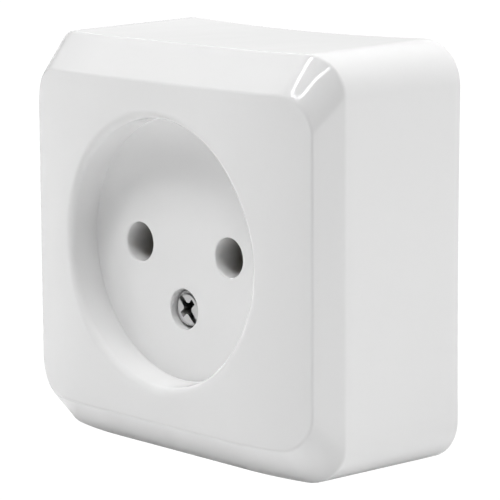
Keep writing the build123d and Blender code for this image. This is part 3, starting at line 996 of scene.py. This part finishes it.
def ring_nylon():
    """Natural nylon, slightly cloudy."""
    colour = finish_colour("ring")

    def make(wire):
        clouds = wire.noise(wire.place(), scale=900.0)
        tone = wire.mix(clouds, darker(colour, 0.92), colour)
        return shade(wire, tone, 0.30 + 0.1 * clouds, wire.bump(clouds, distance=0.03 * MM))

    return material("ring_nylon", make)


def metal(name, colour, stretch, roughness, spangle):
    """Bare or plated sheet: rolling lines along one direction, a cloudy plating, and painted shade in
    recesses.
    """

    def make(wire):
        place = wire.place()
        lines = wire.noise(wire.stretched(place, stretch), scale=3000.0, detail=3.0, roughness=0.6)
        clouds = wire.noise(place, scale=420.0, detail=3.0)
        plain = wire.mix(clouds, darker(colour, 1 - spangle), colour)
        # Painted shade: the recess attribute darkens the colour deeper in the screws' recesses
        recess = wire.add("ShaderNodeAttribute", output="Fac", attribute_name="recess")
        tone = wire.mix(recess, plain, darker(colour, PAINTED_RECESS_SHADE))
        polish = roughness + 0.16 * lines + 0.08 * clouds
        return shade(wire, tone, polish, wire.bump(lines + clouds, distance=0.01 * MM), Metallic=1.0)

    return material(name, make)


def zinc_steel():
    """Bright plating with lines across the pieces."""
    return metal("zinc_steel", finish_colour("zinc"), (1.0, 0.25, 1.0), roughness=0.20, spangle=0.22)


def brass_sheet():
    """Stamped sheet, rolled along its strips."""
    return metal("brass_sheet", finish_colour("brass"), (0.12, 1.0, 1.0), roughness=0.20, spangle=0.18)


def spring_steel():
    """Duller grey sheet."""
    return metal("spring_steel", finish_colour("spring"), (1.0, 1.0, 0.15), roughness=0.26, spangle=0.25)


def table_white():
    """Dull white of the light table that the socket stands on, which glows a little by itself."""

    def make(wire):
        sockets = {"Base Color": (0.8, 0.8, 0.8, 1), "Roughness": 1.0, "Specular IOR Level": 0.0}
        sockets["Emission Color"] = (1, 1, 1, 1)
        sockets["Emission Strength"] = bpy.context.scene.socket_studio.table_light
        return wire.add("ShaderNodeBsdfPrincipled", sockets)

    return material("table_white", make)


def glowing(name, strength):
    """A white that only glows."""
    sockets = {"Color": (1, 1, 1, 1), "Strength": strength}
    return material(name, lambda wire: wire.add("ShaderNodeEmission", sockets))


class SOCKET_OT_finishes(bpy.types.Operator):
    """Gives each piece of the frame that keeps its own shape its finish"""

    bl_idname = "socket.finishes"
    bl_label = "Finishes"

    def execute(self, context):
        makers = {
            "cover_plastic": cover_plastic,
            "base_plastic": base_plastic,
            "fibre_card": fibre_card,
            "plated_steel": zinc_steel,
            "ring_plastic": ring_nylon,
            "brass": brass_sheet,
            "spring_steel": spring_steel,
        }
        for part in frame["record"]["subparts"]:
            dress(frame["nodes"][part["node"]], makers[part["material_slot"]]())
        return {"FINISHED"}


def direction(azimuth, elevation):
    """A unit vector, turned to the right of the front and up from the horizon."""
    level = math.cos(elevation)
    return Vector((math.sin(azimuth) * level, -math.cos(azimuth) * level, math.sin(elevation)))


def camera_axes(studio):
    """The direction from the target back to the camera, and the frame's right and up."""
    back = direction(studio.azimuth, studio.elevation)
    right = (-back).cross(Vector((0, 0, 1))).normalized()
    up = right.cross(-back)
    sine, cosine = math.sin(studio.roll), math.cos(studio.roll)
    return back, cosine * right + sine * up, cosine * up - sine * right


# Soft boxes about the socket: azimuth and elevation in degrees, side in metres, watts
SOFT_BOXES = {
    "back_right": (150, 3, 0.55, 7.17),
    "overhead": (0, 90, 0.55, 3.44),
    "key_left": (300, 45, 0.20, 2.02),
    "key_front": (330, 55, 0.20, 1.95),
    "key_top": (15, 65, 0.20, 2.99),
}
# The floor and the surround are what the camera sees, the table and the backdrop only light the socket
FLOOR_REACH = 4.0
FLOOR_HEIGHT = -0.5
SURROUND_RADIUS = 3.5
TABLE_REACH = 1.0
TABLE_GAP = 0.1 * MM
BACKDROP_REACH = (3.0, 1.25)
BACKDROP_PLACE = (0, 1.2, 1.22)
SENSOR_WIDTH = 36
NEAREST, FARTHEST = 0.01, 20


def soft_box(name, azimuth, elevation, size, power, studio):
    """A square light that looks at the socket from a distance."""
    towards = direction(math.radians(azimuth), math.radians(elevation))
    bpy.ops.object.select_all(action="DESELECT")
    bpy.ops.object.light_add(type="AREA", location=towards * studio.light_distance)
    lamp = bpy.context.object
    lamp.name = name
    lamp.rotation_euler = (-towards).to_track_quat("-Z", "Y").to_euler()
    lamp.data.size = size
    lamp.data.energy = power
    hide_from(lamp, "camera", "glossy")


def hide_from(piece, *rays):
    """Keeps a piece of the stage out of some kinds of ray, such as camera or glossy."""
    for ray in rays:
        setattr(piece, "visible_" + ray, False)


def set_up(piece, finish, *hidden_from):
    """Finishes a piece of the stage, and hides it from some kinds of ray."""
    dress(piece, finish)
    hide_from(piece, *hidden_from)


def sheet(name, half_width, half_depth, middle, tilt=0.0):
    """A flat piece of the stage, tilted up about the X axis."""
    bpy.ops.object.select_all(action="DESELECT")
    bpy.ops.mesh.primitive_plane_add(size=2, location=middle, rotation=(tilt, 0, 0))
    bpy.context.object.scale = (half_width, half_depth, 1)
    return new_piece(name)


# Both edges of the loop lamp's band, in millimetres
LOOP_BAND = (
    ((8.3, -45.7, 82.7), (15.2, -49.1, 82.6)),
    ((10.1, -49.0, 81.3), (16.8, -50.7, 81.7)),
    ((11.7, -50.7, 80.4), (18.3, -52.2, 80.7)),
    ((14.7, -52.5, 79.7), (21.1, -53.7, 79.7)),
    ((17.7, -54.2, 78.8), (24.0, -55.1, 78.6)),
    ((20.9, -55.8, 77.8), (26.9, -56.4, 77.5)),
    ((28.0, -57.2, 76.8), (30.4, -56.9, 76.8)),
    ((38.1, -57.4, 75.0), (36.6, -57.0, 75.7)),
    ((45.6, -56.4, 73.2), (41.4, -56.5, 74.7)),
    ((48.9, -55.2, 72.6), (43.5, -55.9, 74.5)),
    ((48.7, -54.5, 73.3), (43.2, -55.3, 75.1)),
    ((48.8, -53.8, 74.0), (43.3, -54.5, 75.9)),
    ((49.6, -53.0, 74.4), (44.2, -53.7, 76.3)),
    ((50.6, -52.0, 74.8), (45.3, -52.8, 76.7)),
    ((51.9, -51.0, 75.0), (46.8, -51.8, 77.0)),
    ((54.5, -49.5, 74.7), (49.6, -50.5, 76.8)),
    ((57.5, -48.3, 74.3), (52.8, -49.3, 76.4)),
)


def loop_lamp(studio):
    """A bent band of light by the upper right corner, seen only as the bright loop on its bevel."""
    bpy.ops.object.select_all(action="DESELECT")
    bpy.ops.mesh.primitive_grid_add(x_subdivisions=len(LOOP_BAND) - 1, y_subdivisions=1, size=1)
    band = new_piece("loop_lamp")
    places = [pair[side] for side in (0, 1) for pair in LOOP_BAND]
    for vertex, place in zip(band.data.vertices, places):
        vertex.co = Vector(place) * MM
    set_up(band, glowing("loop_white", studio.loop_light), "camera", "diffuse", "shadow")


class SOCKET_OT_stage(bpy.types.Operator):
    """Sets up the camera, the pale floor and the studio light"""

    bl_idname = "socket.stage"
    bl_label = "Studio"

    def execute(self, context):
        studio = context.scene.socket_studio
        scene = context.scene
        scene.view_settings.view_transform = "Standard"
        scene.view_settings.look = "None"

        back, right, up = camera_axes(studio)
        bpy.ops.object.camera_add()
        camera = context.object
        camera.name = "camera"
        turned = Matrix((right, up, back)).transposed().to_4x4()
        turned.translation = Vector(studio.target) + back * studio.distance
        camera.matrix_world = turned
        camera.data.sensor_width = SENSOR_WIDTH
        camera.data.lens = studio.lens
        camera.data.shift_x = studio.shift_x
        camera.data.shift_y = studio.shift_y
        camera.data.clip_start = NEAREST
        camera.data.clip_end = FARTHEST
        scene.camera = camera

        world = scene.world or bpy.data.worlds.new("studio")
        scene.world = world
        world.use_nodes = True
        background = world.node_tree.nodes["Background"].inputs
        background["Color"].default_value = (1, 1, 1, 1)
        background["Strength"].default_value = studio.world_light

        floor_white = glowing("floor_white", studio.floor_light)
        floor = sheet("floor", FLOOR_REACH, FLOOR_REACH, (0, 0, FLOOR_HEIGHT))
        bpy.ops.object.select_all(action="DESELECT")
        bpy.ops.mesh.primitive_uv_sphere_add(radius=SURROUND_RADIUS)
        surround = new_piece("surround")
        for piece in (floor, surround):
            set_up(piece, floor_white, "diffuse", "glossy", "shadow")
        table = sheet("table", TABLE_REACH, TABLE_REACH, (0, 0, cad_low.z - TABLE_GAP))
        set_up(table, table_white(), "camera")
        backdrop = sheet("backdrop", *BACKDROP_REACH, BACKDROP_PLACE, tilt=math.pi / 2)
        set_up(backdrop, glowing("backdrop_white", studio.backdrop_light), "camera")
        loop_lamp(studio)
        for name, settings in SOFT_BOXES.items():
            soft_box(name, *settings, studio)
        return {"FINISHED"}


class SOCKET_PT_panel(bpy.types.Panel):
    """Lists the pieces of the socket"""

    bl_idname = "SOCKET_PT_panel"
    bl_label = "Socket"
    bl_space_type = "VIEW_3D"
    bl_region_type = "UI"
    bl_category = "Socket"

    def draw(self, context):
        for operator in OPERATORS:
            self.layout.operator(operator.bl_idname)


GROUPS = {
    "socket_cover": CoverSizes,
    "socket_well": WellSizes,
    "socket_screws": ScrewSizes,
    "socket_finishes": Finishes,
    "socket_studio": StudioSettings,
}
OPERATORS = (SOCKET_OT_finishes, SOCKET_OT_cover, SOCKET_OT_screws, SOCKET_OT_stage)


def register():
    for name, group in GROUPS.items():
        bpy.utils.register_class(group)
        setattr(bpy.types.Scene, name, bpy.props.PointerProperty(type=group))
    for operator in OPERATORS:
        bpy.utils.register_class(operator)
    bpy.utils.register_class(SOCKET_PT_panel)


def unregister():
    bpy.utils.unregister_class(SOCKET_PT_panel)
    for operator in reversed(OPERATORS):
        bpy.utils.unregister_class(operator)
    for name, group in GROUPS.items():
        delattr(bpy.types.Scene, name)
        bpy.utils.unregister_class(group)


def main():
    register()
    for operator in OPERATORS:
        group, name = operator.bl_idname.split(".")
        getattr(getattr(bpy.ops, group), name)()


if __name__ == "__main__":
    main()
